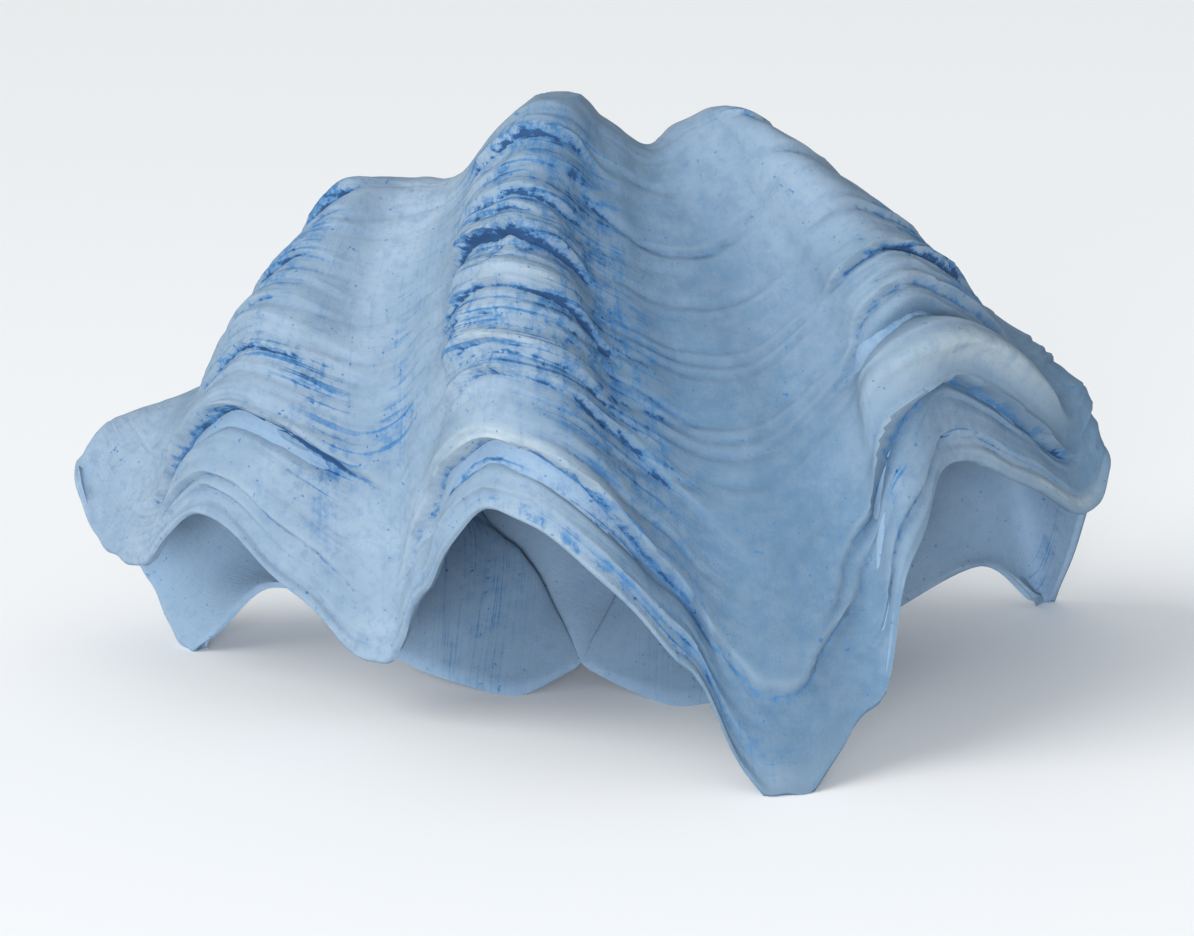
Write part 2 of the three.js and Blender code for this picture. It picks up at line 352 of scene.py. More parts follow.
# Arcs on the hinge shelf: height, spacing in stations, and the hill that they lie under.
SHELF_ARC_HEIGHT, SHELF_ARC_SPACING = 0.5, 0.16
SHELF_ARC_HILL = (0.8, 1.8, 1.5, 1.0)

# Noise, in layers of amount, size in millimetres and seed. Wander moves lines to and fro, in
# stations, and a cut line takes only a share of it. Unevenness and pits are in millimetres.
OUTER_WANDER = ((0.05, 24, 5), (0.014, 9, 6))
BACK_WANDER = ((0.05, 60, 12),)
INNER_WANDER = ((0.06, 26, 15),)
CREASE_WANDER = 0.5
OUTER_UNEVEN = ((1.2, 34, 7), (0.45, 11, 8), (0.18, 4, 9))
INNER_UNEVEN = ((0.9, 30, 17), (0.35, 10, 18))
INNER_LINES = 1.1
PITS, PIT_START, PIT_DEPTH = ((1.0, 5.5, 10),), 0.72, 2.4
LATTICE_CELLS, LATTICE_START = 64, 100.5

# How often the surface's directions are evened out, and how the relief fades near the rim: over
# how many millimetres, and to what share.
DIRECTION_BLURS = 2
RELIEF_FADE, RELIEF_AT_RIM = 6.0, 0.15

# Colour by height: the evenings-out that a place is held against, how many millimetres low or
# high counts in full, where it starts to count, and its share.
NEAR_BLURS, FINE_BLURS, WIDE_BLURS, NEAR_SHARE = 1, 2, 6, 0.6
HOLLOW_MM, HOLLOW_START, HOLLOW_SHARE = 3.0, 0.10, 0.62
CUT_MM, CUT_START, CUT_SHARE = 0.7, 0.12, 0.50
RAISED_MM, RAISED_CREAM = 1.6, 0.25
CREASE_PLAIN, CREASE_RICH = 0.62, 0.50

# What the mesh carries for the material, and the angle past which an edge stays sharp.
FIELDS = ("crease", "rich", "cream", "wash_and_painted_shade", "inside")
SHARP_ANGLE = 62


# ---------------------------------------------------------------- the grown surface


def spline_weights(count, places):
    """Weights of a smooth curve through count points, at places counted in points.

    Between two points a Catmull-Rom cubic runs, whose slope at a point is half the way from the
    one before to the one after. Past each end one more point is put in line with the last two.
    """
    cell = np.clip(np.floor(places).astype(int), 0, count - 2)
    t = (places - cell)[:, None]
    cubic = np.hstack([
        -0.5 * t + t**2 - 0.5 * t**3,
        1 - 2.5 * t**2 + 1.5 * t**3,
        0.5 * t + 2 * t**2 - 1.5 * t**3,
        -0.5 * t**2 + 0.5 * t**3,
    ])
    padded = np.zeros((len(places), count + 2))
    rows = np.arange(len(places))[:, None]
    padded[rows, cell[:, None] + np.arange(4)] = cubic
    weights = padded[:, 1:-1].copy()
    weights[:, 0] += 2 * padded[:, 0]
    weights[:, 1] -= padded[:, 0]
    weights[:, -1] += 2 * padded[:, -1]
    weights[:, -2] -= padded[:, -1]
    return weights


def through(net, folds, stations):
    """The surface through a net of points: the same cubic weights across it and along it. The
    stations are a whole grid, because each fold runs a little past its lip or stops short."""
    across = spline_weights(net.shape[0], folds)
    along = spline_weights(net.shape[1], stations.ravel()).reshape(*stations.shape, -1)
    return np.einsum("ui,uvj,ijk->uvk", across, along, net)


def lip_reach(folds):
    """How far each fold runs past its last station: hills at the tongues, and a slow unevenness
    made of three sine waves."""
    reach = sum(amount * np.exp(-(((folds - fold) / wide) ** 2))
                for fold, wide, amount in LIP_REACHES)
    uneven = sum(np.sin(rate * folds + start) for rate, start in LIP_WAVES)
    return reach + LIP_UNEVEN * uneven


def outer_net():
    """The eight stations of every fold line. The hidden ones are shares of the way from the
    umbo to the crown, pushed back by the fold's share of the bulge."""
    swing = np.array([row[0] for row in FOLDS])[:, None]
    crown, high, low, lip = (np.array([row[i] for row in FOLDS], float) for i in (1, 2, 3, 4))
    umbo = np.array(UMBO, float)
    back_axis, up_axis = np.eye(3)[1], np.eye(3)[2]
    curl = umbo + (crown - umbo) * CURL + swing * (CURL_BULGE * back_axis + CURL_LIFT * up_axis)
    back = umbo + (crown - umbo) * BACK
    back = back + swing * (BACK_REACH - back[:, 1:2]) * back_axis
    shoulder = umbo + (crown - umbo) * SHOULDER
    shoulder = shoulder + swing * SHOULDER_BULGE * (BACK_REACH - crown[:, 1:2]) * back_axis
    start = np.repeat(umbo[None], len(FOLDS), 0)
    return np.stack([start, curl, back, shoulder, crown, high, low, lip], 1)


def evened(row, times):
    """A row of vectors, each made half its own value and a quarter of each neighbour's."""
    for _ in range(times):
        row = np.concatenate([row[:1], (row[:-2] + 2 * row[1:-1] + row[2:]) / 4, row[-1:]])
    return row


def unit(vectors):
    """Vectors divided by their own lengths."""
    return vectors / np.maximum(np.linalg.norm(vectors, axis=-1, keepdims=True), 1e-9)


def slope(grid, axis):
    """Difference of the two neighbours along an axis, one-sided at the ends."""
    count = grid.shape[axis]
    after = np.minimum(np.arange(count) + 1, count - 1)
    before = np.maximum(np.arange(count) - 1, 0)
    return grid.take(after, axis) - grid.take(before, axis)


def inner_net(outer):
    """The outer net, evened out, moved in by the wall, with the hinge shelf as its two sides."""
    outward = unit(np.cross(slope(outer, 1), slope(outer, 0)))
    rows = []
    for j, wall in enumerate(WALL):
        direction = unit(evened(outward[:, j], WALL_EASING[j]))
        rows.append(evened(outer[:, j], FOLD_EASING[j]) - direction * wall)
    net = np.stack(rows, 1)
    net[:, 0] = HINGE_NOTCH
    net[0] = SHELF_LEFT
    net[-1] = SHELF_RIGHT
    return net


def mesh_places():
    """Places across and along the shell where the mesh has its rows."""
    stations = np.concatenate([
        np.linspace(0, FRONT_START, STEPS_BACK + 1),
        np.linspace(FRONT_START, LIP_START, STEPS_FRONT + 1)[1:],
        np.linspace(LIP_START, LAST_STATION, STEPS_LIP + 1)[1:],
    ])
    folds = np.concatenate([
        np.linspace(0, EDGE_SPAN, STEPS_EDGE + 1),
        np.linspace(EDGE_SPAN, LAST_FOLD - EDGE_SPAN, STEPS_ACROSS + 1)[1:],
        np.linspace(LAST_FOLD - EDGE_SPAN, LAST_FOLD, STEPS_EDGE + 1)[1:],
    ])
    return folds, stations


# ---------------------------------------------------------------- relief on the surface


def hill(folds, stations, fold, station, wide, long):
    """A soft round hill: e to the minus of the squared distances from its middle."""
    return np.exp(-(((folds - fold) / wide) ** 2)) * np.exp(-(((stations - station) / long) ** 2))


def run_window(folds, fold, left, right):
    """One over the run of a line, fading out at its two ends: e to the minus fourth power."""
    side = np.where(folds < fold, left, right)
    return np.exp(-(((folds - fold) / side) ** 4))


def eased(t):
    """A smooth step from 0 to 1: three squares less two cubes."""
    return t * t * (3 - 2 * t)


def ledge(gap, drop):
    """Height of an old lip, by how far a point lies past its edge, in millimetres. The wall
    swells towards the edge, falls in a smooth step, and comes back slowly."""
    before = LEDGE_SHARE * np.exp(np.minimum(gap, 0) / LEDGE_SWELL)
    falling = LEDGE_SHARE - eased(np.clip(gap / LEDGE_FALL, 0, 1))
    after = (LEDGE_SHARE - 1) * np.exp(-np.maximum(gap - LEDGE_FALL, 0) / LEDGE_RETURN)
    return drop * np.select([gap < 0, gap <= LEDGE_FALL], [before, falling], after)


def lattice_noise(points, size, seed):
    """Smooth noise from -1 to 1: random values on a lattice of that size, blended by cubics."""
    values = np.random.default_rng(seed).uniform(-1, 1, (LATTICE_CELLS,) * 3)
    place = points / size + LATTICE_START
    cell = np.floor(place).astype(int)
    t = eased(place - cell)
    total = np.zeros(points.shape[:-1])
    for corner in np.ndindex(2, 2, 2):
        i, j, k = (cell + corner).reshape(-1, 3).T % LATTICE_CELLS
        share = np.prod(np.where(corner, t, 1 - t), -1)
        total += share * values[i, j, k].reshape(total.shape)
    return total


def layered(points, layers):
    """Layers of lattice noise added up, each by its amount."""
    return sum(amount * lattice_noise(points, size, seed) for amount, size, seed in layers)


def lines_relief(folds, stations, wander):
    """The ledges and the cut lines, each along its own station. At its ends a line lags by the
    square of the way in folds, and a slanted one by the way itself."""
    relief = np.zeros(folds.shape)
    for fold, station, left, right, drop, lag in LEDGES:
        gap = (stations - station - lag * (folds - fold) ** 2 - wander) * STATION_MM
        relief += ledge(gap, drop) * run_window(folds, fold, left, right)
    for creases, power in ((CREASES, 2), (SLANTED_CREASES, 1)):
        for fold, station, left, right, depth, lag in creases:
            line = station + lag * (folds - fold) ** power + CREASE_WANDER * wander
            cut = np.exp(-(((stations - line) * STATION_MM / CREASE_WIDTH) ** 2))
            relief -= depth * cut * run_window(folds, fold, left, right)
    return relief


def scutes(folds, stations, wander):
    """Small ledges at random stations of every rib, which lag behind at their ends."""
    rng = np.random.default_rng(SCUTE_SEED)
    relief = np.zeros(folds.shape)
    for rib, count in SCUTES:
        for _ in range(count):
            fold = rib + rng.uniform(-SCUTE_STRAY, SCUTE_STRAY)
            line = rng.uniform(*SCUTE_STATIONS) + rng.uniform(*SCUTE_LAG) * (folds - fold) ** 2
            drop = rng.uniform(*SCUTE_DROP)
            left, right = rng.uniform(*SCUTE_RUN, 2)
            gap = (stations - line - wander) * STATION_MM
            relief += ledge(gap, drop) * run_window(folds, fold, left, right)
    return relief


def fine_lines(folds, stations, wander):
    """Many shallow growth lines at random stations: e to the minus of the squared distance from
    the line's middle, each with its own run and depth."""
    rng = np.random.default_rng(FINE_LINE_SEED)
    relief = np.zeros(folds.shape)
    for _ in range(FINE_LINES):
        station = rng.uniform(*FINE_LINE_STATIONS)
        fold = rng.uniform(*FINE_LINE_FOLDS)
        run = rng.uniform(*FINE_LINE_RUN)
        depth = rng.uniform(*FINE_LINE_DEPTH)
        gap = (stations - station - wander) * STATION_MM
        relief -= depth * np.exp(-((gap / FINE_LINE_WIDTH) ** 2)) * run_window(folds, fold, run, run)
    return relief


def smooth_hills(folds, stations, places):
    """A table's soft hills added up, each by its height or amount."""
    return sum(amount * hill(folds, stations, fold, station, wide, long)
               for fold, station, wide, long, amount in places)


def back_relief(points, folds, stations, wander):
    """Low ribs and growth rings behind the crown: a cosine across and a sine along, under a soft
    hill that dies out towards the crown and the umbo."""
    behind = np.exp(-(((stations - BACK_STATION) / BACK_SPREAD) ** 2))
    ribs = np.cos(np.pi * BACK_RIBS * (folds - BACK_RIB_FOLD) / LAST_FOLD)
    wander = BACK_RING_WANDER * wander + layered(points, BACK_WANDER)
    rings = np.sin(2 * np.pi * (stations + wander) / BACK_RING_SPACING)
    return behind * (BACK_RIB_HEIGHT * ribs + BACK_RING_HEIGHT * rings)


def outer_relief(points, folds, stations):
    """Height of the outside above its smooth surface: lines, ledges, swellings, unevenness, and
    pits where one noise passes a level."""
    wander = layered(points, OUTER_WANDER)
    relief = lines_relief(folds, stations, wander) + fine_lines(folds, stations, wander)
    relief += scutes(folds, stations, wander) + smooth_hills(folds, stations, SWELLS)
    relief += back_relief(points, folds, stations, wander) + layered(points, OUTER_UNEVEN)
    return relief - PIT_DEPTH * np.clip(layered(points, PITS) - PIT_START, 0, 1)


def inner_relief(points, folds, stations):
    """Height of the inside towards the hollow: faint growth lines, arcs on the hinge shelf that
    are a sine along it, and an uneven bowl."""
    relief = INNER_LINES * fine_lines(folds, stations, layered(points, INNER_WANDER))
    arcs = np.sin(2 * np.pi * stations / SHELF_ARC_SPACING)
    relief += SHELF_ARC_HEIGHT * arcs * hill(folds, stations, *SHELF_ARC_HILL)
    return relief + layered(points, INNER_UNEVEN)


def blurred(grid, times):
    """A grid evened out both ways: half its own value, a quarter of each neighbour's."""
    for _ in range(times):
        padded = np.pad(grid, 1, mode="edge")
        grid = (padded[:-2, 1:-1] + 2 * grid + padded[2:, 1:-1]) / 4
        padded = np.pad(grid, 1, mode="edge")
        grid = (padded[1:-1, :-2] + 2 * grid + padded[1:-1, 2:]) / 4
    return grid


def rim_fall(distance):
    """How far a face falls back near its rim: a quarter circle of the rim's radius."""
    t = np.clip(1 - distance / RIM_RADIUS, 0, 1)
    return RIM_RADIUS * (1 - np.sqrt(1 - t * t))


def distance_to_rim(points):
    """Way along the surface from every point to the lip and to the two hinge edges."""
    along = np.linalg.norm(np.diff(points, axis=1), axis=2)[:, ::-1].cumsum(1)[:, ::-1]
    across = np.linalg.norm(np.diff(points, axis=0), axis=2)
    left = np.pad(across.cumsum(0), ((1, 0), (0, 0)))
    right = np.pad(across[::-1].cumsum(0)[::-1], ((0, 1), (0, 0)))
    return np.minimum(np.pad(along, ((0, 0), (0, 1))), np.minimum(left, right))


def formed(points, relief, fullness, inward):
    """The surface moved out by the fullness, then along its own direction by the relief, and
    rounded off at the rim."""
    outward = unit(np.cross(slope(points, 1), slope(points, 0)))
    outward = unit(np.stack([blurred(outward[..., i], DIRECTION_BLURS) for i in range(3)], -1))
    points = points + outward * fullness[..., None]
    outward = outward * (-1 if inward else 1)
    distance = distance_to_rim(points)
    fade = np.clip(distance / RELIEF_FADE, RELIEF_AT_RIM, 1)
    moved = points + outward * (relief * fade - rim_fall(distance))[..., None]
    moved[:, 0] = points[:, 0]
    return moved


def within_box(points):
    """Points held inside the CAD box, which also makes the worn feet flat."""
    low, high = (np.array(corner) / MM for corner in CAD_BOX)
    return np.clip(points, low, high)


# ---------------------------------------------------------------- the mesh


def grid_faces(numbers, turned):
    """Four-sided faces between neighbouring rows, with triangles round the single first point."""
    a, b = numbers[:-1, 1:-1], numbers[1:, 1:-1]
    c, d = numbers[1:, 2:], numbers[:-1, 2:]
    quads = np.stack([a, d, c, b], -1).reshape(-1, 4)
    pole = np.full(len(numbers) - 1, numbers[0, 0])
    fan = np.stack([pole, numbers[:-1, 1], numbers[1:, 1]], -1)
    if turned:
        quads, fan = quads[:, ::-1], fan[:, ::-1]
    return quads, fan


def rim_path(numbers):
    """Numbers down the left edge, along the lip and up the right edge."""
    return np.concatenate([numbers[0], numbers[1:, -1], numbers[-1, -2::-1]])


def rim_faces(outer, inner):
    """The rim between the two surfaces: three triangles for two outer steps and one inner."""
    first, middle, last = outer[:-2:2], outer[1:-1:2], outer[2::2]
    here, there = inner[:-1], inner[1:]
    faces = np.concatenate([
        np.stack([first, here, middle], -1),
        np.stack([middle, here, there], -1),
        np.stack([middle, there, last], -1),
    ])
    return faces[(faces != np.roll(faces, 1, axis=1)).all(1)]


def numbered(shape, start):
    """Vertex numbers of a grid whose first row along is one shared point."""
    numbers = np.zeros(shape, int)
    numbers[:, 1:] = start + 1 + np.arange(shape[0] * (shape[1] - 1)).reshape(shape[0], -1)
    numbers[:, 0] = start
    return numbers


def flat(grid):
    """A grid's values in the order of its vertex numbers."""
    first = grid[:1, 0]
    rest = grid[:, 1:].reshape((-1,) + grid.shape[2:])
    return np.concatenate([first, rest])


def colour_fields(relief, folds, stations, stains, creams, washes_and_painted_shade):
    """The colour fields, from 0 to 1. Crease is how low a place lies under its evened-out
    surroundings, a broad hollow and a fine cut added, and more where the stain is rich. Rich,
    cream and the dense wash are sums of soft hills, with a little more cream on raised edges.
    The dense-wash field also holds painted shade: the valley at fold 11, the right side and the
    recesses under the ledges are darkened where shade falls."""
    low = blurred(relief, WIDE_BLURS) - relief
    low += NEAR_SHARE * (blurred(relief, NEAR_BLURS) - relief)
    fine = blurred(relief, FINE_BLURS) - relief
    hollow = np.clip(low / HOLLOW_MM - HOLLOW_START, 0, 1)
    cut = np.clip(fine / CUT_MM - CUT_START, 0, 1)
    raised = np.clip(-low / RAISED_MM, 0, 1)
    rich = np.clip(smooth_hills(folds, stations, stains), 0, 1)
    crease = (HOLLOW_SHARE * hollow + CUT_SHARE * cut) * (CREASE_PLAIN + CREASE_RICH * rich)
    cream = smooth_hills(folds, stations, creams) + RAISED_CREAM * raised
    return {
        "crease": np.clip(crease, 0, 1),
        "rich": rich,
        "cream": np.clip(cream, 0, 1),
        # Dense wash together with painted shade in the valley at fold 11, on the right side and under
        # the ledges.
        "wash_and_painted_shade": np.clip(smooth_hills(folds, stations, washes_and_painted_shade), 0, 1),
    }


def wall_side(net, folds, stations, inward):
    """One side of the wall as whole grids: its points, its colour fields, and its growth map,
    which is the fold and the station as shares of the last ones."""
    grid_u, grid_v = np.meshgrid(folds, stations, indexing="ij")
    towards_lip = np.clip(grid_v - LIP_REACH_START, 0, 1) ** 2
    smooth = through(net, folds, grid_v + lip_reach(grid_u) * towards_lip)
    relief = (inner_relief if inward else outer_relief)(smooth, grid_u, grid_v)
    fields = colour_fields(relief, grid_u, grid_v, *(INSIDE if inward else OUTSIDE))
    fields["inside"] = np.full(grid_u.shape, float(inward))
    fullness = smooth_hills(grid_u, grid_v, FULLNESS)
    growth = np.stack([grid_u / LAST_FOLD, grid_v / LAST_STATION], -1)
    return within_box(formed(smooth, relief, fullness, inward)), fields, growth


def shell_piece():
    """The whole shell: outside, inside at half as many steps, and the rim between them."""
    folds, stations = mesh_places()
    outer_points = outer_net()
    sides = (
        wall_side(outer_points, folds, stations, False),
        wall_side(inner_net(outer_points), folds[::2], stations[::2], True),
    )
    outer_numbers = numbered(sides[0][0].shape[:2], 0)
    inner_numbers = numbered(sides[1][0].shape[:2], outer_numbers.max() + 1)
    quads_out, fan_out = grid_faces(outer_numbers, False)
    quads_in, fan_in = grid_faces(inner_numbers, True)
    rim = rim_faces(rim_path(outer_numbers), rim_path(inner_numbers))
    mesh = bpy.data.meshes.new("clam_shell")
    vertices = np.concatenate([flat(points) for points, _, _ in sides]) * MM
    put_in(mesh, vertices, [quads_out, quads_in, fan_out, fan_in, rim])
    add_fields(mesh, sides)
    piece = bpy.data.objects.new("clam_shell", mesh)
    bpy.context.scene.collection.objects.link(piece)
    return piece


def put_in(mesh, vertices, corners):
    """Vertices and faces into the mesh as whole arrays."""
    sizes = np.concatenate([np.full(len(faces), faces.shape[1]) for faces in corners])
    loops = np.concatenate([faces.ravel() for faces in corners])
    mesh.vertices.add(len(vertices))
    mesh.vertices.foreach_set("co", vertices.ravel())
    mesh.loops.add(len(loops))
    mesh.loops.foreach_set("vertex_index", loops)
    mesh.polygons.add(len(sizes))
    mesh.polygons.foreach_set("loop_start", np.concatenate([[0], sizes.cumsum()[:-1]]))
    mesh.update(calc_edges=True)
    mesh.polygons.foreach_set("use_smooth", np.ones(len(sizes), bool))
    mesh.set_sharp_from_angle(angle=math.radians(SHARP_ANGLE))
    mesh.validate()


def add_fields(mesh, sides):
    """The colour fields as attributes, and the growth map, whose two ways run round and down."""
    for name in FIELDS:
        values = np.concatenate([flat(fields[name]) for _, fields, _ in sides]).astype(np.float32)
        mesh.attributes.new(name, "FLOAT", "POINT").data.foreach_set("value", values)
    places = np.concatenate([flat(growth) for _, _, growth in sides])
    loops = np.zeros(len(mesh.loops), int)
    mesh.loops.foreach_get("vertex_index", loops)
    mesh.uv_layers.new(name="growth").data.foreach_set("uv", places[loops].ravel())


# ---------------------------------------------------------------- the material


def linear(code):
    """A colour written as sRGB hex, turned to the linear values that shaders use."""
    parts = [int(code[i:i + 2], 16) / 255 for i in (1, 3, 5)]
    curve = [p / 12.92 if p <= 0.04045 else ((p + 0.055) / 1.055) ** 2.4 for p in parts]
    return (*curve, 1.0)


MATH, RANGE, NOISE, MIX, MAPPING, FIELD, PLACE = (
    "ShaderNodeMath", "ShaderNodeMapRange", "ShaderNodeTexNoise", "ShaderNodeMix",
    "ShaderNodeMapping", "ShaderNodeAttribute", "ShaderNodeTexCoord",
)
# What nodes of a kind share, and which output is read where it isn't the first.
SHARED = {
    MATH: {"use_clamp": True},
    RANGE: {"interpolation_type": "SMOOTHSTEP"},
    MIX: {"data_type": "RGBA"},
}
OUTPUTS = {PLACE: "Object", FIELD: "Fac", MIX: 2}
# The two colour sockets of a mix.
UNDER, OVER = 6, 7

# Every node after the colour fields: name, kind, settings, and links by the names they read.
NODES = (
    ("place", PLACE, {}, {}),
    ("growth", "ShaderNodeUVMap", {"uv_map": "growth"}, {}),
    # Growth lines lie about 2 mm apart: 190 of them from umbo to lip, drawn up to 100 mm long.
    ("lines_way", MAPPING, {"Scale": (17.0, 190.0, 1.0)}, {"Vector": "growth"}),
    ("lines", NOISE, {"Scale": 1.0, "Detail": 3.0, "Roughness": 0.6}, {"Vector": "lines_way"}),
    # Streaks of the wash ran down the folds, 2 to 3 mm wide.
    ("streaks_way", MAPPING, {"Scale": (300.0, 6.0, 1.0)}, {"Vector": "growth"}),
    ("streaks", NOISE, {"Scale": 1.0, "Detail": 2.0, "Roughness": 0.5}, {"Vector": "streaks_way"}),
    # On the object a scale is how many fit in a metre. Clouds are 45 mm, one load of the brush.
    ("clouds", NOISE, {"Scale": 22.0, "Detail": 3.0, "Roughness": 0.55}, {"Vector": "place"}),
    # Blotches are 8 mm, where the wash dried unevenly.
    ("blotches", NOISE, {"Scale": 120.0, "Detail": 5.0, "Roughness": 0.68}, {"Vector": "place"}),
    # Fraying is 4 mm, along the edge of a stain.
    ("fraying", NOISE, {"Scale": 260.0, "Detail": 4.0, "Roughness": 0.7}, {"Vector": "place"}),
    # Grain is 1.1 mm, drawn about ten times as coarse as chalk so that it shows.
    ("grain", NOISE, {"Scale": 900.0, "Detail": 2.0, "Roughness": 0.6}, {"Vector": "place"}),
    # Specks are 2.4 mm, small pits that filled with the wash.
    ("specks", NOISE, {"Scale": 420.0, "Detail": 1.0, "Roughness": 0.4}, {"Vector": "place"}),

    # Stain in the creases, frayed at its edges and strongest where it is rich.
    ("fray_above", MATH, {"operation": "SUBTRACT", 1: 0.40}, {0: "fraying"}),
    ("fray_more", MATH, {"operation": "MULTIPLY", 1: 1.5}, {0: "fray_above"}),
    ("frayed", MATH, {"operation": "ADD"}, {0: "crease", 1: "fray_more"}),
    ("frayed_edge", RANGE, {"From Min": 0.34, "From Max": 1.0}, {"Value": "frayed"}),
    ("near_crease", RANGE, {"From Min": 0.04, "From Max": 0.30}, {"Value": "crease"}),
    ("rich_crease", RANGE, {"From Max": 0.7, "To Min": 0.55, "To Max": 0.92}, {"Value": "rich"}),
    ("in_crease", MATH, {"operation": "MULTIPLY"}, {0: "frayed_edge", 1: "near_crease"}),
    ("crease_stain", MATH, {"operation": "MULTIPLY"}, {0: "in_crease", 1: "rich_crease"}),
    # Stain along the growth lines, broken up.
    ("broken_lines", RANGE, {"From Min": 0.52, "From Max": 0.62}, {"Value": "lines"}),
    ("rich_lines", RANGE, {"From Max": 0.6, "To Min": 0.12, "To Max": 0.75}, {"Value": "rich"}),
    ("on_lines", MATH, {"operation": "MULTIPLY"}, {0: "broken_lines", 1: "rich_lines"}),
    ("line_stain", MATH, {"operation": "MULTIPLY", 1: 0.6}, {0: "on_lines"}),
    # Torn patches where the stain is rich.
    ("patches", RANGE, {"From Min": 0.36, "From Max": 0.62}, {"Value": "blotches"}),
    ("torn", RANGE, {"From Min": 0.34, "From Max": 0.58, "To Min": 0.25}, {"Value": "fraying"}),
    ("torn_patches", MATH, {"operation": "MULTIPLY"}, {0: "patches", 1: "torn"}),
    ("patch_share", MATH, {"operation": "MULTIPLY", 1: 0.72}, {0: "torn_patches"}),
    ("patch_stain", MATH, {"operation": "MULTIPLY"}, {0: "rich", 1: "patch_share"}),
    # Filled specks.
    ("clear_specks", RANGE, {"From Min": 0.72, "From Max": 0.77}, {"Value": "specks"}),
    ("speck_stain", MATH, {"operation": "MULTIPLY", 1: 0.45}, {0: "clear_specks"}),
    # Streaks, on the outside only.
    ("streak_loss", MATH, {"operation": "MULTIPLY", 1: 0.14}, {0: "inside"}),
    ("streak_share", MATH, {"operation": "SUBTRACT", 0: 0.14}, {1: "streak_loss"}),
    ("clear_streaks", RANGE, {"From Min": 0.50, "From Max": 0.66}, {"Value": "streaks"}),
    ("streak_stain", MATH, {"operation": "MULTIPLY"}, {0: "clear_streaks", 1: "streak_share"}),
    # All of the stain.
    ("stain_1", MATH, {"operation": "ADD"}, {0: "crease_stain", 1: "line_stain"}),
    ("stain_2", MATH, {"operation": "ADD"}, {0: "stain_1", 1: "patch_stain"}),
    ("stain_3", MATH, {"operation": "ADD"}, {0: "stain_2", 1: "speck_stain"}),
    ("stain", MATH, {"operation": "ADD"}, {0: "stain_3", 1: "streak_stain"}),
    ("some_stain", RANGE, {"From Min": 0.05, "From Max": 0.62}, {"Value": "stain"}),
    ("full_stain", RANGE, {"From Min": 0.55, "From Max": 1.0}, {"Value": "stain"}),

    # How much of each coat lies where.
    ("clear_clouds", RANGE, {"From Min": 0.35, "From Max": 0.68}, {"Value": "clouds"}),
    ("bold_patches", RANGE, {"From Min": 0.45, "From Max": 0.7}, {"Value": "blotches"}),
    ("patch_coat", MATH, {"operation": "MULTIPLY", 1: 0.45}, {0: "bold_patches"}),
    ("bold_fraying", RANGE, {"From Min": 0.50, "From Max": 0.70}, {"Value": "fraying"}),
    ("fray_coat", MATH, {"operation": "MULTIPLY", 1: 0.32}, {0: "bold_fraying"}),
    # The dense coat is partly real wash and partly painted shade, which darkens the valley at fold 11,
    # the right side and the recesses under the ledges.
    ("wash_and_painted_shade_patches", RANGE, {"From Min": 0.2, "From Max": 0.7, "To Min": 0.65}, {"Value": "blotches"}),
    ("wash_and_painted_shade_coat", MATH, {"operation": "MULTIPLY"}, {0: "wash_and_painted_shade", 1: "wash_and_painted_shade_patches"}),
    ("cream_patches", RANGE, {"From Min": 0.3, "From Max": 0.6, "To Min": 0.3, "To Max": 0.9},
     {"Value": "blotches"}),
    ("cream_coat", MATH, {"operation": "MULTIPLY"}, {0: "cream", 1: "cream_patches"}),
    ("inside_coat", MATH, {"operation": "MULTIPLY", 1: 0.50}, {0: "inside"}),

    # The coats, each over the one before: the mottled wash in two tones, its darker patches and
    # frayed edges, where it lies dense and where shade is painted in, the cream of the bare shell,
    # the inside, and two blues.
    ("mottled", MIX, {UNDER: "#8a9cad", OVER: "#788da0"}, {"Factor": "clear_clouds"}),
    ("patchy", MIX, {OVER: "#678098"}, {"Factor": "patch_coat", UNDER: "mottled"}),
    ("rubbed", MIX, {OVER: "#557492"}, {"Factor": "fray_coat", UNDER: "patchy"}),
    ("dense_wash_and_painted_shade", MIX, {OVER: "#58758e"}, {"Factor": "wash_and_painted_shade_coat", UNDER: "rubbed"}),
    ("bare", MIX, {OVER: "#a4b0b4"}, {"Factor": "cream_coat", UNDER: "dense_wash_and_painted_shade"}),
    ("lined", MIX, {OVER: "#7f9bb5"}, {"Factor": "inside_coat", UNDER: "bare"}),
    ("blue", MIX, {OVER: "#43719c"}, {"Factor": "some_stain", UNDER: "lined"}),
    ("deep_blue", MIX, {OVER: "#27466c"}, {"Factor": "full_stain", UNDER: "blue"}),

    # The finest lines and the grain stand up by less than a millimetre. Chalk is all but glossless.
    ("line_height", MATH, {"operation": "MULTIPLY", 1: 0.45}, {0: "lines"}),
    ("grain_height", MATH, {"operation": "MULTIPLY", 1: 0.35}, {0: "grain"}),
    ("height", MATH, {"operation": "ADD"}, {0: "line_height", 1: "grain_height"}),
    ("bump", "ShaderNodeBump", {"Strength": 0.55, "Distance": 0.0010}, {"Height": "height"}),
    ("dullness", RANGE, {"From Min": 0.2, "From Max": 0.8, "To Min": 0.78, "To Max": 0.94},
     {"Value": "blotches"}),
    ("shader", "ShaderNodeBsdfPrincipled", {"IOR": 1.5, "Specular IOR Level": 0.25},
     {"Base Color": "deep_blue", "Roughness": "dullness", "Normal": "bump"}),
    ("surface", "ShaderNodeOutputMaterial", {}, {"Surface": "shader"}),
)


